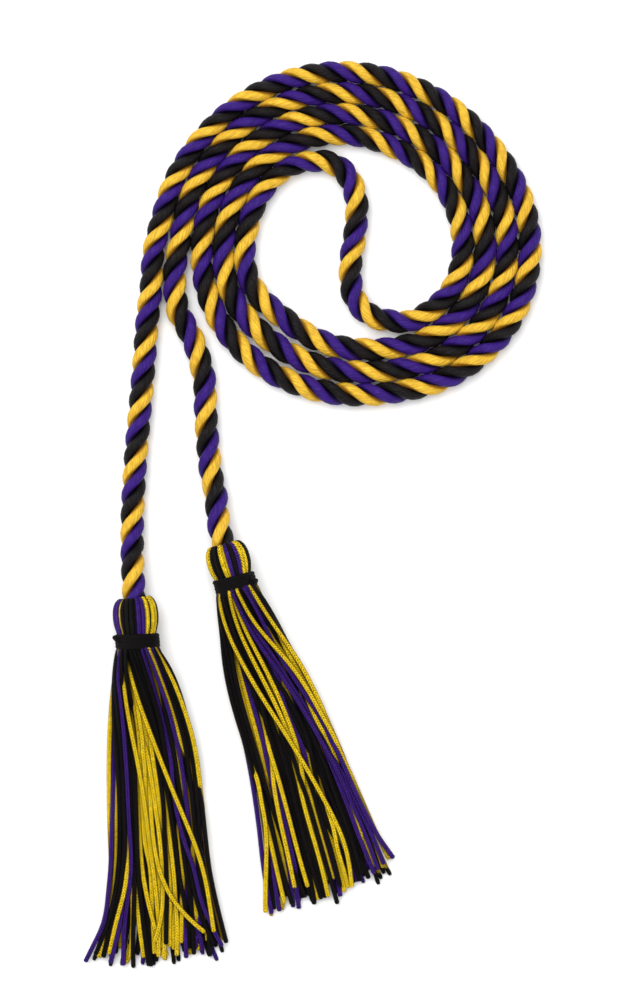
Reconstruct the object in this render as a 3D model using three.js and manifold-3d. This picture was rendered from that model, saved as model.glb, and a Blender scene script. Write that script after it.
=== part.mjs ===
// Honor cord: a three-strand twisted rope with a tassel on each end, lying flat.
// The rope is doubled at its middle and wound into a flat double spiral, its two ends
// run down side by side, and a yarn-bound tassel holds each end.
// Millimetres, +X right, +Y up the page, +Z up from the surface that it lies on.

import * as THREE from 'three';
import { mergeVertices } from 'three/addons/utils/BufferGeometryUtils.js';
import Module from 'manifold-3d';

const wasm = await Module();
wasm.setup();

// Rope
const rope_diameter = 8.4;          // across the three strands where the rope lies free
const packed_width = 6.8;           // sideways, where the turns press against each other
const pass_clearance = 0.3;         // between neighbouring turns of the coil
const strand_gap = 0.55;            // between the three strands, near the rope's axis
const strand_root_radius = 1.9;     // how far from the axis the strands part
const settle_length = 20;           // over which the rope narrows into the coil

// Coil: two arms wound side by side round an open middle
const coil_inner_radius = 28.5;     // the tightest place of the inmost turn
const pass_pitch = packed_width + pass_clearance;
const arm_a_ends = [133, 898];      // degrees along the arm, inner end and outer end
const arm_b_ends = [303, 903];
const arm_a_zero = 178;             // where each arm is in its first place, in degrees
const arm_b_zero = 358;
const coil_step = 12;               // degrees between two points of a turn

// Free ends of the rope, measured down the page from the coil to the head's top
const left_end_drop = 130.3;
const right_end_drop = 106.9;

// Tassels: the lean is in degrees from straight down the page, a head's length is from its
// top to the binding, and a skirt's from the binding to its ends
const left_tassel = { lean: 4, head_length: 12.1, skirt_length: 107 };
const right_tassel = { lean: 16.5, head_length: 10.5, skirt_length: 108.6 };
const head_radius = 8.2;
const neck_radius = 6.1;
const neck_overlap = 2;             // how far the neck runs on inside the skirt
const binding_length = 6.2;
const binding_radius = 8;
const binding_wraps = 3;
const wrap_relief = 0.5;            // how deep the grooves between the wraps are
const binding_clearance = 0.3;
const socket_clearance = 0.3;
const socket_depth = 6;
const skirt_width = 42;
const skirt_height = 15.8;
const lock_radius = 2.5;
const lock_sunk = 1.4;              // how deep the backing lies under the locks' outline

// Fineness of the faceted forms
const steps_per_turn = 5;
const round_sides = 16;
const lock_sides = 5;

const colours = { black: 0x1b1b19, purple: 0x43299a, gold: 0xe9b233, mixed: 0x8a6a3c };

// The coil's shape by direction: where the first turn would lie, as a share of
// coil_inner_radius, and how far apart the turns lie, as a share of pass_pitch.
const coil_rows = [
  { direction: 3, inner: 1.31, spread: 1.10 },
  { direction: 33, inner: 1.14, spread: 1.03 },
  { direction: 63, inner: 1.01, spread: 1.04 },
  { direction: 93, inner: 1.00, spread: 1.03 },
  { direction: 123, inner: 1.07, spread: 1.01 },
  { direction: 148, inner: 1.17, spread: 1.00 },
  { direction: 178, inner: 1.26, spread: 1.07 },
  { direction: 208, inner: 1.36, spread: 1.09 },
  { direction: 233, inner: 1.28, spread: 1.26 },
  { direction: 258, inner: 1.31, spread: 1.16 },
  { direction: 283, inner: 1.355, spread: 1.09 },
  { direction: 303, inner: 1.43, spread: 1.09 },
  { direction: 328, inner: 1.47, spread: 1.09 },
  { direction: 343, inner: 1.42, spread: 1.10 },
];

// The bend in the coil's middle that joins the arms, as shares of coil_inner_radius.
const middle_bend = [
  { across: -0.51, up: 0.81 }, { across: -0.31, up: 0.81 }, { across: -0.19, up: 0.76 },
  { across: -0.09, up: 0.68 }, { across: -0.01, up: 0.56 }, { across: 0.04, up: 0.41 },
  { across: 0.06, up: 0.26 }, { across: 0.05, up: 0.07 }, { across: 0.03, up: -0.13 },
  { across: -0.01, up: -0.36 }, { across: -0.02, up: -0.54 }, { across: -0.01, up: -0.70 },
  { across: 0.03, up: -0.85 }, { across: 0.12, up: -0.98 }, { across: 0.26, up: -1.08 },
  { across: 0.41, up: -1.12 }, { across: 0.61, up: -1.14 },
];

// The free ends from the coil to the tassel's head, as shares of each end's drop. Lift is
// how far the rope has risen from the surface to the height of the head's axis.
const left_end = [
  { across: -0.021, down: 0.087, lift: 0 }, { across: -0.026, down: 0.171, lift: 0 },
  { across: -0.036, down: 0.256, lift: 0 }, { across: -0.044, down: 0.361, lift: 0 },
  { across: -0.053, down: 0.467, lift: 0 }, { across: -0.063, down: 0.573, lift: 0 },
  { across: -0.071, down: 0.678, lift: 0 }, { across: -0.076, down: 0.784, lift: 0.05 },
  { across: -0.076, down: 0.870, lift: 0.4 }, { across: -0.073, down: 0.950, lift: 0.9 },
  { across: -0.070, down: 1.000, lift: 1 },
];
const right_end = [
  { across: -0.019, down: 0.103, lift: 0 }, { across: -0.020, down: 0.153, lift: 0 },
  { across: -0.016, down: 0.199, lift: 0 }, { across: -0.007, down: 0.245, lift: 0 },
  { across: 0.018, down: 0.290, lift: 0 }, { across: 0.041, down: 0.336, lift: 0 },
  { across: 0.057, down: 0.382, lift: 0 }, { across: 0.069, down: 0.427, lift: 0 },
  { across: 0.078, down: 0.472, lift: 0 }, { across: 0.080, down: 0.539, lift: 0 },
  { across: 0.086, down: 0.647, lift: 0 }, { across: 0.100, down: 0.776, lift: 0.05 },
  { across: 0.113, down: 0.828, lift: 0.25 }, { across: 0.121, down: 0.906, lift: 0.75 },
  { across: 0.129, down: 0.958, lift: 0.95 }, { across: 0.141, down: 1.000, lift: 1 },
];

// How many turns the strands have made by each share of the rope's length.
const twist_rows = [
  { along: 0, turns: 0.37 }, { along: 0.076, turns: 6 }, { along: 0.170, turns: 13 },
  { along: 0.249, turns: 19 }, { along: 0.321, turns: 24 }, { along: 0.389, turns: 29 },
  { along: 0.429, turns: 32 }, { along: 0.534, turns: 39 }, { along: 0.603, turns: 44 },
  { along: 0.670, turns: 49 }, { along: 0.774, turns: 56 }, { along: 0.853, turns: 62 },
  { along: 0.922, turns: 67 }, { along: 1, turns: 72.5 },
];

// The rounded head from the binding to its top, as shares of head_length and head_radius.
const head_rows = [
  { along: 1, radius: 0.90 }, { along: 0.78, radius: 0.985 }, { along: 0.50, radius: 1 },
  { along: 0.20, radius: 0.92 }, { along: 0.04, radius: 0.76 },
];

// The skirt's outline from the binding to the ends, as shares of skirt_length,
// half of skirt_width and skirt_height.
const skirt_rows = [
  { along: 0, half_width: 0.38, height: 1 },
  { along: 0.13, half_width: 0.55, height: 0.86 },
  { along: 0.33, half_width: 0.71, height: 0.72 },
  { along: 0.60, half_width: 0.82, height: 0.60 },
  { along: 0.82, half_width: 0.91, height: 0.49 },
  { along: 1, half_width: 1.04, height: 0.38 },
];

// Each lock of the skirt, from left to right: how far down it reaches, as a share of
// skirt_length, and how far out its end has strayed, as a share of half of skirt_width.
const left_locks = [
  { reach: 1.02, stray: -0.22 }, { reach: 0.97, stray: -0.05 }, { reach: 1.03, stray: 0 },
  { reach: 0.98, stray: 0.03 }, { reach: 1.02, stray: 0 }, { reach: 0.99, stray: 0.02 },
  { reach: 1.01, stray: 0 }, { reach: 0.96, stray: 0.04 }, { reach: 0.94, stray: 0.10 },
];
const right_locks = [
  { reach: 1.03, stray: -0.12 }, { reach: 1.00, stray: -0.02 }, { reach: 1.03, stray: 0 },
  { reach: 0.97, stray: -0.03 }, { reach: 1.00, stray: 0 }, { reach: 0.98, stray: 0.02 },
  { reach: 0.95, stray: 0 }, { reach: 0.99, stray: 0.05 }, { reach: 0.97, stray: 0.20 },
];

const radians = THREE.MathUtils.degToRad;

// Value of a column at a place in a table, on straight lines between the rows.
function lookUp(rows, key, column, place) {
  const next = Math.max(1, rows.findIndex((row) => row[key] >= place));
  const a = rows[next - 1];
  const b = rows[next];
  return a[column] + ((b[column] - a[column]) * (place - a[key])) / (b[key] - a[key]);
}

// Value of a column of coil_rows in any direction, on a smooth curve round the circle.
function roundTable(column, direction) {
  const count = coil_rows.length;
  const place = THREE.MathUtils.euclideanModulo(direction - coil_rows[0].direction, 360)
    + coil_rows[0].direction;
  const last = coil_rows.findLastIndex((row) => row.direction <= place);
  const at = (offset) => {
    const index = last + offset;
    const row = coil_rows[THREE.MathUtils.euclideanModulo(index, count)];
    return { x: row.direction + 360 * Math.floor(index / count), y: row[column] };
  };
  const [before, from, to, after] = [at(-1), at(0), at(1), at(2)];
  const span = to.x - from.x;
  const slope_from = ((to.y - before.y) / (to.x - before.x)) * span;
  const slope_to = ((after.y - from.y) / (after.x - from.x)) * span;
  const t = (place - from.x) / span;
  return (2 * t ** 3 - 3 * t ** 2 + 1) * from.y + (t ** 3 - 2 * t ** 2 + t) * slope_from
    + (3 * t ** 2 - 2 * t ** 3) * to.y + (t ** 3 - t ** 2) * slope_to;
}

// A point of an arm of the coil. Both arms together gain two places in each full turn.
function coilPoint(degrees, arm_zero) {
  const place = (2 * (degrees - arm_zero)) / 360;
  const radius = coil_inner_radius * roundTable('inner', degrees)
    + pass_pitch * roundTable('spread', degrees) * place;
  const angle = radians(degrees);
  return new THREE.Vector3(radius * Math.cos(angle), radius * Math.sin(angle), rope_diameter / 2);
}

function coilArm([inner_end, outer_end], arm_zero) {
  const steps = Math.round((outer_end - inner_end) / coil_step);
  return Array.from({ length: steps + 1 }, (_, i) =>
    coilPoint(inner_end + ((outer_end - inner_end) * i) / steps, arm_zero));
}

function freeEnd(rows, start, drop, lean) {
  const points = rows.map((row) => new THREE.Vector3(
    start.x + row.across * drop,
    start.y - row.down * drop,
    rope_diameter / 2 + row.lift * (head_radius - rope_diameter / 2),
  ));
  const top = points.at(-1);
  const into_socket = socket_depth - socket_clearance;
  const angle = radians(lean);
  points.push(new THREE.Vector3(
    top.x + into_socket * Math.sin(angle),
    top.y - into_socket * Math.cos(angle),
    top.z,
  ));
  return { points, top };
}

// The rope's whole route, from the left tassel through the coil to the right one.
function ropeRoute() {
  const arm_a = coilArm(arm_a_ends, arm_a_zero).reverse();
  const arm_b = coilArm(arm_b_ends, arm_b_zero);
  const left = freeEnd(left_end, arm_a[0], left_end_drop, left_tassel.lean);
  const right = freeEnd(right_end, arm_b.at(-1), right_end_drop, right_tassel.lean);
  const bend = middle_bend.map((row) => new THREE.Vector3(
    row.across * coil_inner_radius, row.up * coil_inner_radius, rope_diameter / 2));
  const stretches = [left.points.reverse(), arm_a, bend, arm_b, right.points];
  const curve = new THREE.CatmullRomCurve3(stretches.flat(), false, 'centripetal');
  curve.arcLengthDivisions = 40 * curve.points.length;
  const lengths = curve.getLengths();
  const lengthAt = (index) => lengths[Math.round((index * curve.arcLengthDivisions)
    / (curve.points.length - 1))];
  let index = -1;
  const ends = stretches.map((stretch) => {
    index += stretch.length;
    return lengthAt(index);
  });
  return { curve, length: lengths.at(-1), ends, left_top: left.top, right_top: right.top };
}

// How wide the rope is at a distance along it: free, or pressed between its neighbours.
function ropeWidth(route, distance) {
  const [left_done, arm_a_done, bend_done, arm_b_done] = route.ends;
  const pressed = (from, to) =>
    THREE.MathUtils.smoothstep(distance, from - settle_length, from)
    * (1 - THREE.MathUtils.smoothstep(distance, to, to + settle_length));
  const share = Math.max(pressed(left_done, arm_a_done), pressed(bend_done, arm_b_done));
  return THREE.MathUtils.lerp(rope_diameter, packed_width, share);
}

// Closed geometry through rings of points, each ring counter-clockwise seen from its end.
function loft(rings) {
  const count = rings[0].length;
  const positions = rings.flat().flatMap((point) => [point.x, point.y, point.z]);
  const faces = [];
  for (let r = 0; r + 1 < rings.length; r += 1) {
    for (let k = 0; k < count; k += 1) {
      const a = r * count + k;
      const b = r * count + ((k + 1) % count);
      faces.push(a, b, a + count, b, b + count, a + count);
    }
  }
  const last = (rings.length - 1) * count;
  for (let k = 1; k + 1 < count; k += 1) {
    faces.push(0, k + 1, k, last, last + k, last + k + 1);
  }
  const geometry = new THREE.BufferGeometry();
  geometry.setAttribute('position', new THREE.Float32BufferAttribute(positions, 3));
  geometry.setIndex(faces);
  return geometry;
}

// A strand is a four-cornered wedge of the rope's round section, wound along the route.
function strandSection() {
  const shoulder = Math.PI / steps_per_turn;
  const shrink = Math.cos(shoulder);
  const root = Math.PI / 3 - Math.asin(strand_gap / 2 / shrink / strand_root_radius);
  return [
    { radius: strand_root_radius, angle: -root },
    { radius: rope_diameter / 2, angle: -shoulder },
    { radius: rope_diameter / 2, angle: shoulder },
    { radius: strand_root_radius, angle: root },
  ];
}

function strand(route, turn_offset) {
  const first = twist_rows[0].turns;
  const turns = twist_rows.at(-1).turns - first;
  const steps = Math.ceil(turns * steps_per_turn);
  const section = strandSection();
  const up = new THREE.Vector3(0, 0, 1);
  const rings = Array.from({ length: steps + 1 }, (_, i) => {
    const twist = first + (turns * i) / steps;
    const along = lookUp(twist_rows, 'turns', 'along', twist);
    const centre = route.curve.getPointAt(along);
    const ahead = route.curve.getTangentAt(along);
    const side = new THREE.Vector3().crossVectors(ahead, up).normalize();
    const above = new THREE.Vector3().crossVectors(side, ahead);
    const narrowing = ropeWidth(route, along * route.length) / rope_diameter;
    return section.map(({ radius, angle }) => {
      const around = 2 * Math.PI * (twist + turn_offset) + angle;
      return centre.clone()
        .addScaledVector(above, radius * Math.cos(around))
        .addScaledVector(side, radius * Math.sin(around) * narrowing);
    });
  });
  return loft(rings);
}

function toManifold(geometry) {
  const bare = geometry.clone();
  bare.deleteAttribute('normal');
  bare.deleteAttribute('uv');
  const merged = mergeVertices(bare, 1e-4);
  return new wasm.Manifold(new wasm.Mesh({
    numProp: 3,
    vertProperties: Float32Array.from(merged.attributes.position.array),
    triVerts: Uint32Array.from(merged.index.array),
  }));
}

function toGeometry(solid) {
  const mesh = solid.getMesh();
  const geometry = new THREE.BufferGeometry();
  geometry.setAttribute('position', new THREE.Float32BufferAttribute(mesh.vertProperties, 3));
  geometry.setIndex(Array.from(mesh.triVerts));
  return geometry;
}

// A turned form whose axis is the tassel's own, along Y at the height of the head's middle.
function turned(profile) {
  const geometry = new THREE.LatheGeometry(
    profile.map(([radius, y]) => new THREE.Vector2(radius, y)), round_sides);
  geometry.rotateY(Math.PI / round_sides);
  geometry.translate(0, 0, head_radius);
  return geometry;
}

// Places along a tassel count from its head's top at 0 downwards.
function skirtTop(sizes) {
  return -sizes.head_length - binding_length;
}

function tasselHead(sizes) {
  const mouth = rope_diameter / 2 + socket_clearance;
  const binding_top = -sizes.head_length;
  const neck_end = skirtTop(sizes) - neck_overlap;
  return turned([
    [0, neck_end],
    [neck_radius, neck_end],
    [neck_radius, binding_top],
    ...head_rows.map((row) => [row.radius * head_radius, row.along * binding_top]),
    [mouth, 0],
    [mouth, -socket_depth],
    [0, -socket_depth],
  ]);
}

// The middle of the skirt, that the locks lie on: an arch with a flat underside.
function skirtBacking(sizes) {
  const arch_points = 8;
  const rings = skirt_rows.slice(0, -1).map((row) => {
    const half = (row.half_width * skirt_width) / 2 - lock_sunk;
    const height = row.height * skirt_height - lock_sunk;
    const low = row.along === 0 ? head_radius - neck_radius : 0;
    return Array.from({ length: arch_points }, (_, k) => {
      const angle = (Math.PI * k) / (arch_points - 1);
      return new THREE.Vector3(
        half * Math.cos(angle),
        skirtTop(sizes) - row.along * sizes.skirt_length,
        low + (height - low) * Math.sin(angle),
      );
    });
  });
  return loft(rings);
}

function skirtLock(sizes, lock, place, count) {
  const share = (2 * (place + 0.5)) / count - 1;
  const rows = skirt_rows.map((row) => ({ ...row, along: row.along * lock.reach }));
  const rings = rows.map((row) => {
    const spread = lock_radius * (0.8 + 0.5 * row.along);
    const half = (row.half_width * skirt_width) / 2 - spread;
    const across = share * half + (lock.stray * row.along ** 4 * skirt_width) / 2;
    const crown = row.height * skirt_height - spread;
    const height = crown * Math.sqrt(1 - share ** 2);
    return Array.from({ length: lock_sides }, (_, k) => {
      const angle = Math.PI / 2 + (2 * Math.PI * k) / lock_sides;
      return new THREE.Vector3(
        across + spread * Math.cos(angle),
        skirtTop(sizes) - row.along * sizes.skirt_length,
        height + spread * Math.sin(angle),
      );
    });
  });
  return loft(rings);
}

function tassel(sizes, locks) {
  let body = toManifold(tasselHead(sizes)).add(toManifold(skirtBacking(sizes)));
  locks.forEach((lock, place) => {
    body = body.add(toManifold(skirtLock(sizes, lock, place, locks.length)));
  });
  const reach = 2 * (sizes.skirt_length + sizes.head_length);
  const above_surface = new THREE.BoxGeometry(reach, 2 * reach, reach);
  above_surface.translate(0, 0, reach / 2);
  return toGeometry(body.intersect(toManifold(above_surface)));
}

// The yarn wound round the neck, its wraps side by side.
function binding(sizes) {
  const low = skirtTop(sizes) + binding_clearance;
  const high = -sizes.head_length - binding_clearance;
  const wrap = (high - low) / binding_wraps;
  const groove = binding_radius - wrap_relief;
  const bore = neck_radius + binding_clearance;
  const profile = [[bore, low], [groove, low]];
  for (let k = 0; k < binding_wraps; k += 1) {
    profile.push([binding_radius, low + (k + 0.5) * wrap], [groove, low + (k + 1) * wrap]);
  }
  profile.push([bore, high], [bore, low]);
  return turned(profile);
}

function piece(name, geometry, colour, roughness) {
  const mesh = new THREE.Mesh(geometry, new THREE.MeshStandardMaterial({
    color: colour, roughness, metalness: 0,
  }));
  mesh.name = name;
  return mesh;
}

function tasselGroup(side, top, sizes, locks) {
  const group = new THREE.Group();
  group.position.set(top.x, top.y, 0);
  group.rotation.z = radians(sizes.lean);
  group.add(piece(`tassel_${side}`, tassel(sizes, locks), colours.mixed, 0.75));
  group.add(piece(`binding_${side}`, binding(sizes), colours.black, 0.85));
  return group;
}

function honorCord() {
  const route = ropeRoute();
  const cord = new THREE.Group();
  cord.add(piece('strand_gold', strand(route, 0), colours.gold, 0.45));
  cord.add(piece('strand_black', strand(route, -1 / 3), colours.black, 0.55));
  cord.add(piece('strand_purple', strand(route, -2 / 3), colours.purple, 0.45));
  cord.add(tasselGroup('left', route.left_top, left_tassel, left_locks));
  cord.add(tasselGroup('right', route.right_top, right_tassel, right_locks));
  const box = new THREE.Box3().setFromObject(cord, true);
  const middle = box.getCenter(new THREE.Vector3());
  cord.position.set(-middle.x, -middle.y, 0);
  const whole = new THREE.Group();
  whole.add(cord);
  return whole;
}

const whole_cord = honorCord();
export default whole_cord;
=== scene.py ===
"""Honor cord: three twisted strands wound into a flat double coil, with a tassel on each end.

The rope's route and the sizes of its pieces repeat those of the CAD part, in its own
drawing and in millimetres. to_row() turns points of the drawing into the row frame.
"""

import math
import random

import bpy
import numpy as np
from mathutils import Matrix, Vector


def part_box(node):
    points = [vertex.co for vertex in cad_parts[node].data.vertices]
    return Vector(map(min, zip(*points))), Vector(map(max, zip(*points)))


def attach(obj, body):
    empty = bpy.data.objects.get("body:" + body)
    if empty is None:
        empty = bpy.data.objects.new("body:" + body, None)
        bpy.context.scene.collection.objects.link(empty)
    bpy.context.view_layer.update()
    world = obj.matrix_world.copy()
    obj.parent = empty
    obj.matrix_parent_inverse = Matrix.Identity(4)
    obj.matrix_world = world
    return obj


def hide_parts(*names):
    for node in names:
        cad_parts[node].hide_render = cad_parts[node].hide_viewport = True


MM = 0.001

# Rope
ROPE_DIAMETER = 8.4
PACKED_WIDTH = 6.8
PASS_CLEARANCE = 0.3
PASS_PITCH = PACKED_WIDTH + PASS_CLEARANCE
SETTLE_LENGTH = 20

# Coil: two arms wound side by side round an open middle, in degrees along each arm
COIL_INNER_RADIUS = 28.5
ARM_A_ENDS = (133, 898)
ARM_B_ENDS = (303, 903)
ARM_A_ZERO = 178
ARM_B_ZERO = 358
COIL_STEP = 12

# Free ends of the rope, down the page from the coil to the head's top
LEFT_END_DROP = 130.3
RIGHT_END_DROP = 106.9

# Tassels. A head's length runs from its top to the binding, a skirt's from the binding to
# its end. The girth scales the radius of the head and of the binding.
LEFT_TASSEL = {
    "lean": math.radians(4), "head_length": 12.1, "skirt_length": 107, "girth": 0.98,
}
RIGHT_TASSEL = {
    "lean": math.radians(16.5), "head_length": 10.5, "skirt_length": 108.6, "girth": 0.94,
}
HEAD_RADIUS = 8.2
BINDING_LENGTH = 6.2
BINDING_RADIUS = 8.0
SOCKET_DEPTH = 6
SOCKET_CLEARANCE = 0.3
SKIRT_WIDTH = 42
SKIRT_HEIGHT = 15.8

# Direction in degrees, place of the first turn as a share of COIL_INNER_RADIUS, and
# spread of the turns as a share of PASS_PITCH
COIL_ROWS = (
    (3, 1.31, 1.10), (33, 1.14, 1.03), (63, 1.01, 1.04), (93, 1.00, 1.03),
    (123, 1.07, 1.01), (148, 1.17, 1.00), (178, 1.26, 1.07), (208, 1.36, 1.09),
    (233, 1.28, 1.26), (258, 1.31, 1.16), (283, 1.355, 1.09), (303, 1.43, 1.09),
    (328, 1.47, 1.09), (343, 1.42, 1.10),
)

# The bend in the coil's middle: across and up, as shares of COIL_INNER_RADIUS
MIDDLE_BEND = (
    (-0.51, 0.81), (-0.31, 0.81), (-0.19, 0.76), (-0.09, 0.68), (-0.01, 0.56), (0.04, 0.41),
    (0.06, 0.26), (0.05, 0.07), (0.03, -0.13), (-0.01, -0.36), (-0.02, -0.54), (-0.01, -0.70),
    (0.03, -0.85), (0.12, -0.98), (0.26, -1.08), (0.41, -1.12), (0.61, -1.14),
)

# The free ends: across, down and lift, as shares of each end's drop
LEFT_END = (
    (-0.021, 0.087, 0), (-0.026, 0.171, 0), (-0.036, 0.256, 0), (-0.044, 0.361, 0),
    (-0.053, 0.467, 0), (-0.063, 0.573, 0), (-0.071, 0.678, 0), (-0.076, 0.784, 0.05),
    (-0.076, 0.870, 0.4), (-0.073, 0.950, 0.9), (-0.070, 1.000, 1),
)
RIGHT_END = (
    (-0.019, 0.103, 0), (-0.020, 0.153, 0), (-0.016, 0.199, 0), (-0.007, 0.245, 0),
    (0.018, 0.290, 0), (0.041, 0.336, 0), (0.057, 0.382, 0), (0.069, 0.427, 0),
    (0.078, 0.472, 0), (0.080, 0.539, 0), (0.086, 0.647, 0), (0.100, 0.776, 0.05),
    (0.113, 0.828, 0.25), (0.121, 0.906, 0.75), (0.129, 0.958, 0.95), (0.141, 1.000, 1),
)

# Turns that the strands have made by each share of the rope's length: share, turns
TWIST_ROWS = (
    (0, 0.37), (0.076, 6), (0.170, 13), (0.249, 19), (0.321, 24), (0.389, 29), (0.429, 32),
    (0.534, 39), (0.603, 44), (0.670, 49), (0.774, 56), (0.853, 62), (0.922, 67), (1, 72.5),
)

# The skirt's outline: share of its length, half width and height as shares of their sizes
SKIRT_ROWS = (
    (0, 0.38, 1), (0.13, 0.55, 0.86), (0.33, 0.71, 0.72), (0.60, 0.82, 0.60),
    (0.82, 0.91, 0.49), (1, 1.04, 0.38),
)

# Strands: where each lies in the rope, as a share of a turn
STRAND_TURNS = {"gold": 0.0, "black": -1 / 3, "purple": -2 / 3}
STRAND_RADIUS = 1.95
STRAND_ORBIT = ROPE_DIAMETER / 2 - STRAND_RADIUS
STRAND_FLATTENING = 1.2
STRAND_SIDES = 28
RINGS_PER_TURN = 30
STRAND_GAP = math.radians(1.2)
PRESSED_SHARE = 1.05
PLIES = 9
PLY_RELIEF = 0.05
PLY_TURN = 0.06                     # radians for each millimetre along the rope
# A strand swells and thins a little along the rope: size, waves a turn of the rope, and
# how far one strand is ahead of the next
STRAND_WAVES = ((0.012, 0.23, 7), (0.010, 0.61, 3))

# Yarns of the tassels
YARN_RADIUS = 0.82
NECK_YARN_RADIUS = 0.68
NECK_RADIUS = 7.8
UNDER_BINDING = 0.80                # how far the neck draws in under the binding
YARN_SIDES = 8
HIDDEN_YARN_SIDES = 6
STITCH_LENGTH = 1.0
STITCH_RELIEF = 0.05
CURVE_STEPS = 12
CUT_END_RINGS = (1.05, 0.72)        # widths of the last two rings of a cut end
YARN_OFFSET = 137.7                 # sets the stitches of one yarn apart from the next one's

# Skirts. Stations are cuts across a skirt, at shares of its length.
YARNS_IN_A_SKIRT = 80
REACH_MARGIN = 0.03                 # yarns still push each other this far past their ends
SKIRT_STATIONS = 46
LAST_STATION = 1.06
NECK_END = 0.05
SPREAD_END = 0.3                    # where the skirt has come down to the surface
HIDDEN_REACH = (0.96, 1.03)
HIDDEN_MARGIN = 0.08                # how far in from the skirt's sides hidden yarns stay
HIDDEN_STRAY = 1.5
HIDDEN_TOP_LAYER = -1.6
HIDDEN_LAYERS = 2.5
LAYER_SPACING = 0.85                # layers of yarn lie this share of a thickness apart
WAVE_SIZES = (0.08, 0.25)
WAVE_RATES = (9, 16)

# How the yarns of a skirt settle, for each step
SETTLE_STEPS = 170
LAST_STEPS = 8                      # these only push yarns apart
DROP_PER_STEP = 0.06
STIFFNESS = 0.5
PUSH_APART = 0.42
LIFT = 0.16
MOST_LIFT = 0.25
TABLE_HOLD = 0.16                   # how hard the yarns of the tables keep to their places
HIDDEN_HOLD = 0.03
TABLE_GIVE = 0.5                    # how far they give way sideways to the yarns beside them
ROOM_PAST_NECK = 40
COVER_WIDTH = 2.4                   # yarns nearer than this many radii cover each other

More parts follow.
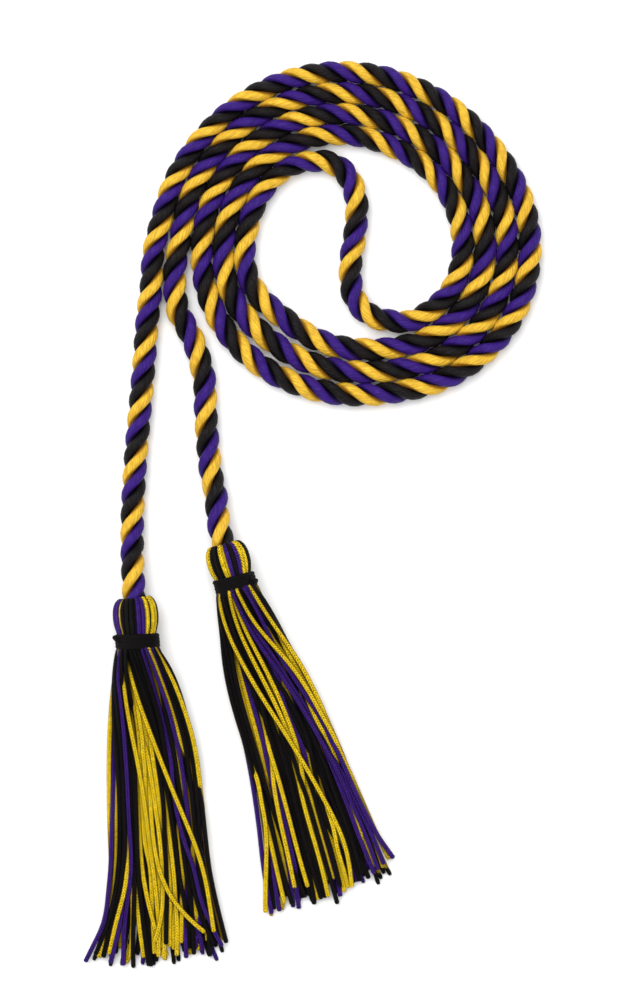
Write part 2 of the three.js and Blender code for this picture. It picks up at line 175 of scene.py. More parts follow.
# The yarns that show on top of the left skirt, from left to right: colour, layer at the
# neck, in the middle and at the end, reach as a share of the skirt's length, then
# millimetres across from the tassel's axis at each of YARN_STATIONS and at the yarn's end.
YARN_STATIONS = (0, 0.1, 0.25, 0.5, 0.75, 0.88)
LAYER_STATIONS = (0.02, 0.22, 0.42, 0.75)
LEFT_YARNS = (
    ("gold", 0, 1, 0, 0.97, -6.8, -9.2, -11.8, -14.0, -15.2, -16.8, -18.6),
    ("purple", 0, 1, 2, 1.00, -6.8, -8.6, -10.2, -12.8, -15.8, -18.9, -26.2),
    ("gold", 0, 1, 0, 0.99, -6.2, -8.2, -9.4, -11.5, -14.0, -17.2, -21.2),
    ("black", 0, 1, 1, 0.98, -7.2, -9.2, -9.6, -10.3, -12.8, -16.8, -22.3),
    ("black", 0, 1, 1, 0.99, -6.8, -8.4, -8.6, -8.8, -11.2, -15.6, -19.6),
    ("black", 0, 0, 0, 0.98, -5.6, -7.0, -8.0, -9.6, -12.0, -14.0, -15.2),
    ("purple", 1, 1, 1, 1.02, -6.6, -7.7, -6.8, -7.1, -8.2, -11.7, -13.0),
    ("purple", 0, 0, 1, 1.01, -5.0, -6.6, -8.0, -8.4, -10.0, -13.4, -17.8),
    ("gold", 0, 0, 1, 0.98, -4.6, -5.4, -6.2, -7.4, -9.4, -14.0, -17.2),
    ("black", 1, 1, 1, 1.03, -5.5, -6.2, -5.8, -6.0, -6.8, -8.6, -9.4),
    ("black", 1, 1, 1, 1.02, -5.0, -5.4, -5.0, -5.0, -6.1, -5.0, -4.2),
    ("black", 2, 0, 0, 1.03, -4.6, -5.4, -2.7, -2.2, -1.9, -3.2, -3.3),
    ("gold", -1, 0, 0, 1.00, -4.4, -5.0, -5.6, -6.2, -7.6, -8.3, -10.3),
    ("gold", -1, -1, 0, 1.00, -4.0, -4.6, -5.2, -5.8, -6.6, -7.0, -5.7),
    ("gold", 0, 0, 1, 1.00, -4.6, -4.6, -3.8, -3.2, -4.3, -1.5, 2.4),
    ("gold", 0, 2, 1, 1.00, -5.4, -6.2, -4.4, -1.6, 0.2, 0.3, -0.4),
    ("gold", 0, 3, 3, 0.93, -4.0, -2.9, 1.2, 9.9, 17.8, 19.0, 19.4),
    ("gold", 0, 1, 0, 0.99, -3.4, -3.0, -1.2, -3.0, -1.6, -2.0, -2.2),
    ("gold", 0, 1, 1, 1.01, -3.2, -2.7, -0.8, -0.6, 1.6, 1.8, 1.4),
    ("gold", 0, 1, 2, 0.95, -3.0, -2.2, -0.2, 1.8, 3.8, 2.4, -1.4),
    ("gold", 0, 1, 3, 0.93, -2.6, -1.8, 0.4, 0.2, 2.2, 9.4, 15.6),
    ("gold", -1, 1, 1, 0.97, -2.0, -1.2, 1.0, 3.4, 5.4, 5.2, 4.2),
    ("gold", -1, 0, 1, 0.98, -1.4, -0.4, 1.6, 2.6, 4.6, 5.6, 5.0),
    ("gold", -1, 0, 1, 1.00, -0.6, 0.6, 3.6, 5.8, 6.2, 6.7, 5.8),
    ("gold", -1, 0, -1, 0.96, 0.4, 1.8, 5.0, 7.0, 6.9, 7.0, 7.2),
    ("gold", -1, -1, 1, 0.96, 1.6, 3.4, 6.6, 9.0, 10.3, 8.5, 7.4),
    ("black", 1, 1, 2, 0.96, -3.4, -1.5, 3.0, 4.8, 3.6, 2.8, 2.4),
    ("black", 1, 1, 1, 0.98, -2.4, 0.0, 4.3, 7.4, 8.8, 10.2, 10.8),
    ("black", 1, 1, 1, 1.00, -1.1, 1.5, 5.4, 9.6, 11.8, 12.0, 11.4),
    ("black", 1, 1, 0, 0.99, 0.2, 2.9, 6.1, 8.2, 7.6, 8.8, 8.4),
    ("purple", 1, 1, 1, 0.98, 1.7, 3.9, 7.2, 8.6, 14.1, 17.2, 21.4),
    ("gold", 0, 0, 0, 0.99, 2.6, 5.2, 9.1, 12.0, 13.2, 13.4, 13.3),
    ("purple", 2, 1, 0, 0.99, 3.3, 6.3, 10.4, 13.1, 12.8, 12.6, 14.6),
    ("purple", -1, -1, 0, 0.93, 3.0, 4.6, 8.0, 10.6, 9.3, 7.0, 6.0),
    ("purple", -1, -1, 1, 1.01, 3.6, 5.2, 8.6, 11.2, 11.4, 10.0, 9.1),
    ("black", 0, 1, 1, 0.97, 4.2, 6.6, 8.7, 10.9, 12.4, 15.2, 18.8),
    ("gold", 1, 1, -1, 0.95, 4.8, 7.1, 11.8, 16.6, 18.0, 19.0, 20.0),
    ("purple", 1, 0, 0, 0.98, 5.6, 8.8, 13.4, 15.8, 15.2, 14.2, 13.0),
    ("black", 0, 1, 0, 0.98, 5.8, 9.4, 12.6, 16.0, 17.4, 18.0, 18.4),
    ("gold", -1, 0, -1, 0.96, 4.4, 7.6, 12.2, 14.6, 16.0, 16.4, 16.8),
    ("black", 1, 1, 1, 1.01, 6.2, 10.2, 14.2, 16.8, 16.0, 18.2, 17.4),
    ("black", 0, 1, 1, 0.96, 6.6, 9.4, 12.8, 15.3, 17.0, 18.8, 20.6),
    ("gold", 1, 2, -4, 0.93, 6.9, 11.3, 16.1, 18.1, 17.2, 17.4, 17.8),
    ("black", 1, 1, 2, 0.97, 7.6, 12.5, 15.2, 18.2, 19.5, 21.6, 23.4),
)

# The same for the right skirt.
RIGHT_YARNS = (
    ("black", -1, 1, 1, 1.01, -7.4, -9.2, -12.2, -12.6, -12.3, -12.9, -12.9),
    ("black", -1, 1, 0, 0.98, -6.8, -8.6, -11.0, -11.3, -11.9, -12.2, -13.6),
    ("purple", -1, 0, 1, 1.02, -6.2, -8.2, -11.8, -12.9, -16.4, -19.0, -20.6),
    ("gold", -1, -1, 2, 1.01, -5.8, -7.4, -10.8, -11.8, -13.6, -18.2, -22.6),
    ("gold", -1, -1, 1, 1.00, -5.4, -7.0, -10.2, -11.0, -12.8, -14.4, -15.1),
    ("purple", -1, -1, 0, 1.02, -5.0, -6.4, -9.4, -11.4, -12.8, -16.2, -17.7),
    ("black", -1, -1, 0, 1.01, -4.6, -6.2, -9.0, -11.8, -12.8, -17.2, -19.4),
    ("gold", 0, 3, 3, 1.01, -7.2, -8.1, -4.9, 2.4, 9.2, 11.3, 8.7),
    ("gold", -1, 0, 0, 0.97, -5.8, -7.2, -8.4, -9.3, -11.1, -11.3, -12.6),
    ("gold", -1, 0, -1, 0.95, -5.0, -6.4, -7.6, -8.0, -7.9, -8.4, -9.6),
    ("black", 0, 1, 1, 1.00, -5.6, -6.9, -9.5, -10.0, -9.8, -9.6, -7.6),
    ("purple", 0, 0, 0, 1.02, -4.8, -5.8, -6.3, -6.2, -8.7, -11.2, -12.8),
    ("purple", -1, -1, 1, 1.03, -3.6, -4.6, -5.6, -6.0, -7.0, -7.8, -11.1),
    ("gold", -1, -1, 2, 0.96, -3.0, -3.2, -3.8, -5.4, -8.8, -9.6, -10.2),
    ("gold", -1, 0, 3, 0.97, -2.2, -2.6, -3.4, -4.6, -5.4, -5.8, -5.8),
    ("black", 1, 1, 1, 1.05, -5.2, -5.6, -3.0, 1.6, 2.8, 2.6, 2.1),
    ("black", 1, 1, 1, 1.03, -4.8, -5.2, -4.6, -2.4, -3.4, -4.4, -5.9),
    ("black", 1, 1, 1, 1.02, -4.6, -5.0, -5.8, -0.8, -2.2, -3.0, -1.8),
    ("black", 0, 1, 1, 1.00, -4.2, -4.5, -3.8, -3.5, -4.2, -4.9, -5.2),
    ("gold", 2, 2, 0, 0.97, -3.7, -3.9, -1.0, 3.2, 3.4, 3.4, 3.6),
    ("black", 1, 1, 1, 1.02, -3.0, -2.8, 0.0, 0.7, -0.5, -1.0, -1.7),
    ("gold", 1, 2, 0, 0.97, -2.4, -1.9, 1.4, 4.5, 2.2, 2.0, 2.0),
    ("purple", 2, 2, 2, 0.98, -1.6, -0.8, 4.6, 12.3, 17.2, 18.8, 19.3),
    ("purple", 0, 1, 2, 0.99, -1.0, 0.2, 6.2, 12.6, 15.6, 16.2, 17.5),
    ("gold", 2, 2, 0, 0.96, 0.1, 1.2, 9.7, 16.9, 20.6, 22.4, 23.9),
    ("black", 1, 0, 1, 1.00, 1.3, 3.1, 6.6, 9.8, 13.0, 13.4, 14.9),
    ("black", 1, 0, 1, 0.99, 2.2, 4.0, 7.4, 10.8, 13.9, 14.4, 14.2),
    ("black", 0, 1, 1, 1.00, -2.0, -1.0, 2.9, 8.4, 7.2, 8.6, 9.6),
    ("black", 0, 1, 1, 1.00, -0.6, 0.8, 3.8, 7.2, 12.0, 12.6, 12.2),
    ("black", 0, 0, 1, 1.00, 0.6, 1.8, 4.2, 5.2, 5.6, 5.6, 4.8),
    ("gold", -1, -1, 2, 1.02, -0.6, 0.8, 1.6, 1.6, 0.8, 1.0, -0.1),
    ("gold", -1, -1, 0, 1.02, -1.4, -0.6, -0.4, -1.0, -1.4, -1.9, -3.8),
    ("gold", -1, -1, 0, 1.02, 1.0, 2.6, 4.8, 5.8, 6.4, 6.7, 5.7),
    ("gold", -1, -1, 1, 1.01, 1.4, 3.0, 5.4, 6.8, 7.4, 8.2, 7.5),
    ("gold", -1, 1, -1, 0.96, 0.6, 2.2, 4.4, 7.2, 8.2, 8.6, 8.8),
    ("purple", -1, 1, 0, 1.03, 0.4, 1.8, 3.8, 6.0, 5.4, 5.2, 4.1),
    ("purple", -1, 0, 0, 1.00, 2.0, 3.8, 6.4, 9.6, 11.6, 11.0, 11.0),
    ("purple", 1, 1, 3, 0.96, 3.3, 5.0, 8.1, 16.3, 19.6, 22.6, 25.5),
    ("purple", 1, 0, 2, 0.97, 4.0, 6.0, 9.2, 13.8, 18.2, 21.2, 21.8),
    ("gold", -1, 1, 1, 0.95, 2.4, 4.4, 9.4, 14.7, 16.6, 17.0, 17.4),
    ("gold", -1, 0, 1, 0.97, 1.6, 3.6, 7.4, 11.4, 14.6, 17.2, 18.6),
    ("gold", 0, 1, -1, 0.97, 4.6, 7.6, 11.4, 15.8, 18.4, 19.4, 20.2),
    ("gold", 1, 2, 0, 0.98, 4.9, 7.3, 13.2, 17.4, 20.2, 20.8, 21.2),
    ("black", 1, 1, -1, 0.96, 6.0, 8.6, 12.0, 15.4, 18.0, 19.0, 19.6),
    ("black", 0, 1, 1, 0.98, 4.4, 7.0, 9.0, 10.8, 12.8, 13.6, 13.6),
    ("black", 1, -1, -1, 0.95, 6.9, 9.5, 12.0, 14.6, 17.0, 18.0, 19.0),
)

# Loops round each head, a letter for each yarn: gold, purple or black, small where the
# yarn is thin. The first word runs from the left edge over the top to the right edge,
# the second one back underneath.
LEFT_LOOPS = ("PPPgBBBbPPGbGGB", "PBGPBBPGPBBGPB")
RIGHT_LOOPS = ("GGgBBbGgPBPGGBB", "PBGPBBPGBPGBPB")
LOOP_COLOURS = {"g": "gold", "p": "purple", "b": "black"}
THIN_LOOP = 0.45

# How much higher than LOOP_PROFILE each head's shoulders stand, left and right
LEFT_SHOULDERS = (0.1, 0.6)
RIGHT_SHOULDERS = (1.0, 0.7)

# A loop's middle line from inside the rope's hole over the shoulder to under the binding:
# distance from the axis, distance down as a share of the head's length, and how much of the
# shoulder's height it takes.
LOOP_PROFILE = (
    (3.9, 0.28, 1), (4.25, 0.14, 1), (5.15, 0.08, 1), (6.25, 0.16, 0.8), (7.0, 0.31, 0.4),
    (7.25, 0.50, 0), (7.1, 0.73, 0), (6.45, 0.96, 0), (5.9, 1.14, 0), (5.7, 1.37, 0),
)
SHOULDER_PLACE = 5                  # the place of the table where a loop is widest
LOOP_OVERLAP = 1.06

# The filling behind the loops: distance from the axis and share of the head's length.
FILLING_PROFILE = (
    (4.55, 0.20), (5.3, 0.19), (6.0, 0.30), (6.4, 0.50), (6.2, 0.74), (5.4, 1.02),
    (4.9, 1.32), (0, 1.32), (0, 0.53), (4.55, 0.53),
)
FILLING_DEPTH = 1.5                 # counts as this deep among the yarns, and so takes painted shade

# Bindings. The cut end of a binding's yarn: out from the axis, down and up
LEFT_BINDING_END = ((-5.6, 3.2, 4.6), (-6.9, 2.2, 4.0), (-7.5, 1.5, 3.0), (-7.9, 1.1, 2.2))
RIGHT_BINDING_END = ((5.2, 3.4, 4.8), (6.5, 4.0, 4.2), (7.1, 4.3, 3.2), (7.4, 4.6, 2.4))
WRAPS = 4
STEPS_PER_WRAP = 24
WRAP_YARN_RADIUS = 0.85
WRAP_UNEVENNESS = 0.12
BINDING_END_RADIUS = 0.8

# The map "OFBake": start and length of its rows, and start and width of a tube in its row
ROW_START, ROW_LENGTH = 0.01, 0.97
TUBE_START, TUBE_WIDTH = 0.04, 0.92
END_FACE_PLACE, END_FACE_STEP = 0.995, 0.001

# Colours are linear. Each yarn has its own, and a darker one for darker fibres and patches,
# and for the painted shade in the creases, in the gaps between stitches and deep among the yarns.
COLOURS = {
    "gold": ((0.87, 0.53, 0.042), (0.25, 0.105, 0.006)),
    "purple": ((0.038, 0.0085, 0.198), (0.006, 0.001, 0.03)),
    "black": ((0.0056, 0.0034, 0.0042), (0.0010, 0.0006, 0.0007)),
}
YARN_COLOURS = {
    "gold": ((0.99, 0.69, 0.016), (0.15, 0.085, 0.002)),
    "purple": ((0.058, 0.016, 0.240), (0.005, 0.001, 0.022)),
    "black": ((0.0038, 0.0022, 0.0028), (0.0008, 0.0005, 0.0006)),
}

# Looks. Scales are noise cells for each unit along and across, and ranges are the values
# between which an effect grows from none to full.
FIBRE_SCALES = (0.12, 3.2)
BROAD_SCALES = (0.30, 0.9)
FIBRE_HEIGHT = 0.9
PLY_HEIGHT = 0.52
PLY_CROWN_HIGHLIGHT = -0.09                 # painted highlight: fibres on the crown of a ply are drawn lighter
PLY_WANDER = 1.7
STREAK_RANGE = (0.29, 0.55)
STREAK_DEPTH = 0.85
# painted shade in the crease between two strands grows over this range
CREASE_RANGE = (0.0, 0.26)
STITCH_WANDER = 1.2
STITCH_POINT = 2.0
STITCH_ROUNDNESS = 0.7
GAP_RANGE = (0.74, 0.34)
UNEVEN_SCALES = (0.7, 1.0)
UNEVEN_RANGE = (0.2, 0.6)
WORN_SCALES = (0.26, 1.3)
WORN_RANGE = (0.35, 0.7)
# Painted shade where a yarn lies deep among the others
BURIED_RANGE = (0.4, 2.2)           # millimetres deep among the yarns
BURIED_SHADE = 0.8

# How much painted shade goes into the gaps between stitches of each yarn colour; above 1
# the full shade spreads wider than the gaps
YARN_GAP_SHADE = {"black": 0.5, "purple": 1.6, "gold": 1.0}

# Photograph's frame
PHOTO_SIZE = (622, 1000)
MM_PER_PIXEL = 0.347
COIL_CENTRE_PIXEL = (352, 228)
CAMERA_HEIGHT = 1500


# Curves

def smooth_share(value):
    value = np.clip(value, 0, 1)
    return value * value * (3 - 2 * value)


def hermite(t, start, end, leave, arrive):
    """A smooth curve from start to end with a slope at each, for t from 0 to 1."""
    return (
        (2 * t**3 - 3 * t**2 + 1) * start
        + (t**3 - 2 * t**2 + t) * leave
        + (3 * t**2 - 2 * t**3) * end
        + (t**3 - t**2) * arrive
    )


def centripetal(points, steps):
    """Points on a centripetal Catmull-Rom curve through the given ones."""
    points = np.array(points, float)
    before = 2 * points[0] - points[1]
    after = 2 * points[-1] - points[-2]
    p = np.vstack([before, points, after])
    gap = np.linalg.norm(np.diff(p, axis=0), axis=1)[:, None] ** 0.5
    d0, d1, d2 = gap[:-2], gap[1:-1], gap[2:]
    p0, p1, p2, p3 = p[:-3], p[1:-2], p[2:-1], p[3:]
    leave = ((p1 - p0) / d0 - (p2 - p0) / (d0 + d1) + (p2 - p1) / d1) * d1
    arrive = ((p2 - p1) / d1 - (p3 - p1) / (d1 + d2) + (p3 - p2) / d2) * d1
    t = (np.arange(steps) / steps)[None, :, None]
    curve = hermite(t, p1[:, None], p2[:, None], leave[:, None], arrive[:, None])
    return np.vstack([curve.reshape(-1, points.shape[1]), points[-1:]])


def run_lengths(points):
    """Distance along a line of points, at each point."""
    return np.concatenate([[0], np.cumsum(np.linalg.norm(np.diff(points, axis=0), axis=1))])


def unit(vectors):
    return vectors / np.linalg.norm(vectors, axis=-1, keepdims=True)


def at_lengths(points, lengths, wanted):
    return np.stack([np.interp(wanted, lengths, points[:, c]) for c in range(3)], axis=1)


# The rope's route, as in the CAD part

def round_table(column, direction):
    """A column of COIL_ROWS in any direction, on a smooth curve round the circle."""
    count = len(COIL_ROWS)
    first = COIL_ROWS[0][0]
    place = (direction - first) % 360 + first
    last = max(i for i, row in enumerate(COIL_ROWS) if row[0] <= place)

    def at(offset):
        index = last + offset
        row = COIL_ROWS[index % count]
        return row[0] + 360 * (index // count), row[column]

    (x0, y0), (x1, y1), (x2, y2), (x3, y3) = at(-1), at(0), at(1), at(2)
    span = x2 - x1
    leave = (y2 - y0) / (x2 - x0) * span
    arrive = (y3 - y1) / (x3 - x1) * span
    return hermite((place - x1) / span, y1, y2, leave, arrive)


def coil_point(degrees, arm_zero):
    place = 2 * (degrees - arm_zero) / 360
    radius = COIL_INNER_RADIUS * round_table(1, degrees)
    radius += PASS_PITCH * round_table(2, degrees) * place
    angle = math.radians(degrees)
    return (radius * math.cos(angle), radius * math.sin(angle), ROPE_DIAMETER / 2)


def coil_arm(ends, arm_zero):
    inner, outer = ends
    steps = round((outer - inner) / COIL_STEP)
    return [coil_point(inner + (outer - inner) * i / steps, arm_zero) for i in range(steps + 1)]


def free_end(rows, start, drop, lean):
    """Points from the coil into the head's socket, and the point at the head's top."""
    middle = ROPE_DIAMETER / 2
    points = [
        (start[0] + across * drop, start[1] - down * drop, middle + lift * (HEAD_RADIUS - middle))
        for across, down, lift in rows
    ]
    top = points[-1]
    inside = SOCKET_DEPTH - SOCKET_CLEARANCE
    points.append((top[0] + inside * math.sin(lean), top[1] - inside * math.cos(lean), top[2]))
    return points, top


class Route:
    """The rope's middle line from the left tassel through the coil to the right one."""

    steps = 24

    def __init__(self):
        arm_a = coil_arm(ARM_A_ENDS, ARM_A_ZERO)[::-1]
        arm_b = coil_arm(ARM_B_ENDS, ARM_B_ZERO)
        left, self.left_top = free_end(LEFT_END, arm_a[0], LEFT_END_DROP, LEFT_TASSEL["lean"])
        right, self.right_top = free_end(
            RIGHT_END, arm_b[-1], RIGHT_END_DROP, RIGHT_TASSEL["lean"]
        )
        bend = [
            (across * COIL_INNER_RADIUS, up * COIL_INNER_RADIUS, ROPE_DIAMETER / 2)
            for across, up in MIDDLE_BEND
        ]
        stretches = [left[::-1], arm_a, bend, arm_b, right]
        self.points = centripetal(sum(stretches, []), self.steps)
        self.lengths = run_lengths(self.points)
        self.ahead = unit(np.gradient(self.points, self.lengths, axis=0))
        last_point = np.cumsum([len(s) for s in stretches]) - 1
        self.ends = self.lengths[last_point * self.steps]

    def at(self, distance):
        """Middle, direction, side and top of the rope at distances along it."""
        middle = at_lengths(self.points, self.lengths, distance)
        ahead = unit(at_lengths(self.ahead, self.lengths, distance))
        side = unit(np.cross(ahead, (0, 0, 1)))
        return middle, ahead, side, np.cross(side, ahead)

    def width(self, distance, middle):
        """The rope's width: free, or pressed between the turns beside it."""
        left_done, arm_a_done, bend_done, arm_b_done = self.ends[:4]

        def pressed(start, end):
            begun = smooth_share((distance - start + SETTLE_LENGTH) / SETTLE_LENGTH)
            return begun * (1 - smooth_share((distance - end) / SETTLE_LENGTH))

        share = np.maximum(pressed(left_done, arm_a_done), pressed(bend_done, arm_b_done))
        directions = np.degrees(np.arctan2(middle[:, 1], middle[:, 0]))
        spread = np.array([round_table(2, d) for d in directions])
        between_turns = np.minimum(PRESSED_SHARE * PASS_PITCH * spread, ROPE_DIAMETER)
        return ROPE_DIAMETER + (between_turns - ROPE_DIAMETER) * share


class Drawing:
    """Turns points of the drawing into the row frame, by the left binding's place in it."""

    def __init__(self, route):
        low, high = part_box("binding_left")
        down = LEFT_TASSEL["head_length"] + BINDING_LENGTH / 2
        lean = LEFT_TASSEL["lean"]
        top = route.left_top
        drawn = (top[0] + down * math.sin(lean), top[1] - down * math.cos(lean))
        self.shift = np.array([
            (low[0] + high[0]) / 2 / MM - drawn[0],
            (low[1] + high[1]) / 2 / MM - drawn[1],
            0,
        ])

    def to_row(self, points):
        return (np.asarray(points, float) + self.shift) * MM


# Meshes of tubes

def make_tubes(name, tubes, material, frame_place):
    """One mesh of many tubes. A tube is a grid of points, ring by ring, the distance along
    it of each ring, and how deep its points lie. The map "run" holds millimetres along and
    the share of the way around. The map "OFBake" lays all tubes out in rows, one after the
    other."""
    corners, quads, ends, run, layout, depths = [], [], [], [], [], []
    around_mm = max(
        np.linalg.norm(np.diff(rings[:, :2], axis=1), axis=2).mean() * rings.shape[1]
        for rings, _, _ in tubes
    )
    whole = sum(along[-1] - along[0] for _, along, _ in tubes)
    rows = max(1, round(math.sqrt(whole / around_mm)))
    row_length = whole / rows
    first = 0
    done = 0.0
    for rings, along, depth in tubes:
        count, sides = rings.shape[:2]
        corners.append(rings.reshape(-1, 3))
        depths.append((np.zeros((count, sides)) + depth).ravel())
        ring, side = np.meshgrid(np.arange(count - 1), np.arange(sides), indexing="ij")
        next_side = (side + 1) % sides
        quads.append(np.stack([
            ring * sides + side,
            ring * sides + next_side,
            (ring + 1) * sides + next_side,
            (ring + 1) * sides + side,
        ], axis=-1).reshape(-1, 4) + first)
        u = np.stack([along[ring], along[ring], along[ring + 1], along[ring + 1]], axis=-1)
        v = np.stack([side, side + 1, side + 1, side], axis=-1) / sides
        run.append(np.stack([u, v], axis=-1).reshape(-1, 2))
        travelled = u - along[0] + done
        row = np.floor(travelled[..., :1] / row_length)
        layout.append(np.stack([
            (travelled - row * row_length) / row_length * ROW_LENGTH + ROW_START,
            (np.minimum(row, rows - 1) + TUBE_START + TUBE_WIDTH * v) / rows,
        ], axis=-1).reshape(-1, 2))
        ends.append((first, sides, along[0], False))
        ends.append((first + (count - 1) * sides, sides, along[-1], True))
        first += count * sides
        done += along[-1] - along[0]
    faces = [list(q) for q in np.vstack(quads).tolist()]
    run = list(np.vstack(run).tolist())
    layout = list(np.vstack(layout).tolist())
    for start, sides, along_end, forwards in ends:
        ring = list(range(start, start + sides))
        faces.append(ring if forwards else ring[::-1])
        run.extend([(along_end, 0.5)] * sides)
        layout.extend([(END_FACE_PLACE, 0.5 + END_FACE_STEP * k) for k in range(sides)])
    mesh = bpy.data.meshes.new(name)
    mesh.from_pydata(frame_place(np.vstack(corners)).tolist(), [], faces)
    for map_name, values in (("run", run), ("OFBake", layout)):
        uv = mesh.uv_layers.new(name=map_name)
        uv.data.foreach_set("uv", np.array(values, np.float32).ravel())
    # how deep each point lies, which the yarn material turns into painted shade
    depth_of = mesh.attributes.new("depth", "FLOAT", "POINT")
    depth_of.data.foreach_set("value", np.concatenate(depths).astype(np.float32))
    mesh.polygons.foreach_set("use_smooth", np.ones(len(faces), bool))
    mesh.materials.append(material)
    mesh.update()
    piece = bpy.data.objects.new(name, mesh)
    bpy.context.scene.collection.objects.link(piece)
    return piece


def carried_frames(path, start_normal):
    """Two directions across a line of points, carried along it without twist."""
    ahead = unit(np.gradient(path, axis=0))
    normal = np.empty_like(ahead)
    carried = np.array(start_normal, float)
    for i, direction in enumerate(ahead):
        carried = carried - direction * np.dot(carried, direction)
        carried = carried / np.linalg.norm(carried)
        normal[i] = carried
    return normal, np.cross(ahead, normal)


def yarn_tube(control, radii, start_normal, cover=None, cut_end=False, hidden=False):
    """A knitted yarn along a curve through the control points, which have a radius each.
    Rings half a stitch apart stand proud and low by turns, as the stitches do. A hidden
    yarn has fewer rings and sides, and no relief. The last result tells how deep each
    point lies among the yarns, by what covers the yarn on the point's side and by how far
    round from the middle of that side it is."""
    control = np.asarray(control, float)
    curve = centripetal(control, CURVE_STEPS)
    lengths = run_lengths(curve)
    rings_per_stitch, sides = (1, HIDDEN_YARN_SIDES) if hidden else (2, YARN_SIDES)
    rings = max(3, round(rings_per_stitch * lengths[-1] / STITCH_LENGTH) + 1)
    along = np.linspace(0, lengths[-1], rings)
    path = at_lengths(curve, lengths, along)
    place = np.interp(along, lengths, np.linspace(0, len(control) - 1, len(curve)))
    places = np.arange(len(control))
    radius = np.interp(place, places, radii)[:, None]
    normal, side = carried_frames(path, start_normal)
    angle = 2 * np.pi * np.arange(sides) / sides
    ring_index, side_index = np.meshgrid(np.arange(rings), np.arange(sides), indexing="ij")
    stitch = 0.0 if hidden else STITCH_RELIEF
    relief = 1 + stitch * np.where((ring_index + side_index) % 2, 1.0, -1.0)
    if cut_end:
        relief[-2:] *= np.array(CUT_END_RINGS)[:, None]
    points = (
        path[:, None]
        + normal[:, None] * (radius * relief * np.cos(angle))[..., None]
        + side[:, None] * (radius * relief * np.sin(angle))[..., None]
    )
    if cover is None:
        cover = np.zeros((len(control), 2))
    over, under = (np.interp(place, places, column)[:, None] for column in cover.T)
    facing = np.cos(angle)[None, :]
    # how deep each point lies, for the painted shade of the yarn material
    depth = radius * (1 - np.abs(facing)) + over * (1 + facing) / 2 + under * (1 - facing) / 2
    return points, along, depth


# Strands of the rope

def strand_section(plump, distance):
    """A strand's outline across the rope at each ring, from its inner side round its
    outer one. It is an oval with low plies, and its two neighbours press it flat where
    it meets them."""
    angle = (2 * np.pi * np.arange(STRAND_SIDES) / STRAND_SIDES - np.pi)[None, :]
    ply = np.cos(PLIES * (angle + PLY_TURN * distance[:, None]))
    radius = STRAND_RADIUS + PLY_RELIEF * (ply - 1)
    out = STRAND_ORBIT + radius * np.cos(angle)
    across = STRAND_FLATTENING * plump[:, None] * radius * np.sin(angle)
    limit = out * math.tan(math.pi / 3 - STRAND_GAP)
    return out, np.clip(across, -limit, limit)


def make_strand(colour, route, drawing, material):
    shares, turn_counts = np.array(TWIST_ROWS).T
    turns = np.linspace(
        turn_counts[0],
        turn_counts[-1],
        round((turn_counts[-1] - turn_counts[0]) * RINGS_PER_TURN) + 1,
    )
    distance = np.interp(turns, turn_counts, shares) * route.lengths[-1]
    middle, ahead, side, above = route.at(distance)
    narrowing = route.width(distance, middle) / ROPE_DIAMETER
    offset = STRAND_TURNS[colour]
    around = 2 * np.pi * (turns + offset)
    plump = 1 + sum(
        size * np.sin(2 * np.pi * turns * waves + ahead_by * offset)
        for size, waves, ahead_by in STRAND_WAVES
    )
    out, across = strand_section(plump, distance)
    cos, sin = np.cos(around)[:, None], np.sin(around)[:, None]
    up = (out * cos - across * sin)[..., None]
    sideways = ((out * sin + across * cos) * narrowing[:, None])[..., None]
    points = middle[:, None] + above[:, None] * up + side[:, None] * sideways

    lean = STRAND_ORBIT * np.cos(around)[:, None] * above
    lean = lean + (STRAND_ORBIT * np.sin(around) * narrowing)[:, None] * side
    helix = middle + lean
    tube = (points, run_lengths(helix), 0.0)
    piece = make_tubes(f"rope_{colour}", [tube], material, drawing.to_row)
    path = drawing.to_row(helix)
    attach(piece, "root")
    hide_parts(f"strand_{colour}")
    tuple(path[0])
    float(run_lengths(path)[-1])
    return piece


# Tassels

class TasselFrame:
    """Turns points of a tassel (across, down from the head's top, height) into the row frame."""

    def __init__(self, drawing, top, size):
        lean = size["lean"]
        self.drawing = drawing
        self.top = np.array([top[0], top[1], 0.0])
        self.down = np.array([math.sin(lean), -math.cos(lean), 0.0])
        self.across = np.array([math.cos(lean), math.sin(lean), 0.0])

    def to_row(self, points):
        points = np.asarray(points, float)
        across, down, height = points[..., :1], points[..., 1:2], points[..., 2:]
        up = height * np.array([0.0, 0.0, 1.0])
        return self.drawing.to_row(self.top + self.across * across + self.down * down + up)


def skirt_outline(share):
    shares, half_width, height = np.array(SKIRT_ROWS).T
    half = np.interp(share, shares, half_width) * SKIRT_WIDTH / 2
    return half, np.interp(share, shares, height) * SKIRT_HEIGHT


def through_stations(places, reach, shares):
    """A smooth curve through a yarn's places across at YARN_STATIONS and at its end."""
    stations = np.array(YARN_STATIONS + (reach,))
    places = np.array(places, float)
    slopes = np.gradient(places, stations)
    wanted = np.clip(shares, 0, reach)
    k = np.clip(np.searchsorted(stations, wanted, side="right") - 1, 0, len(stations) - 2)
    span = stations[k + 1] - stations[k]
    t = (wanted - stations[k]) / span
    curve = hermite(t, places[k], places[k + 1], slopes[k] * span, slopes[k + 1] * span)
    return curve + (shares - wanted) * slopes[-1]


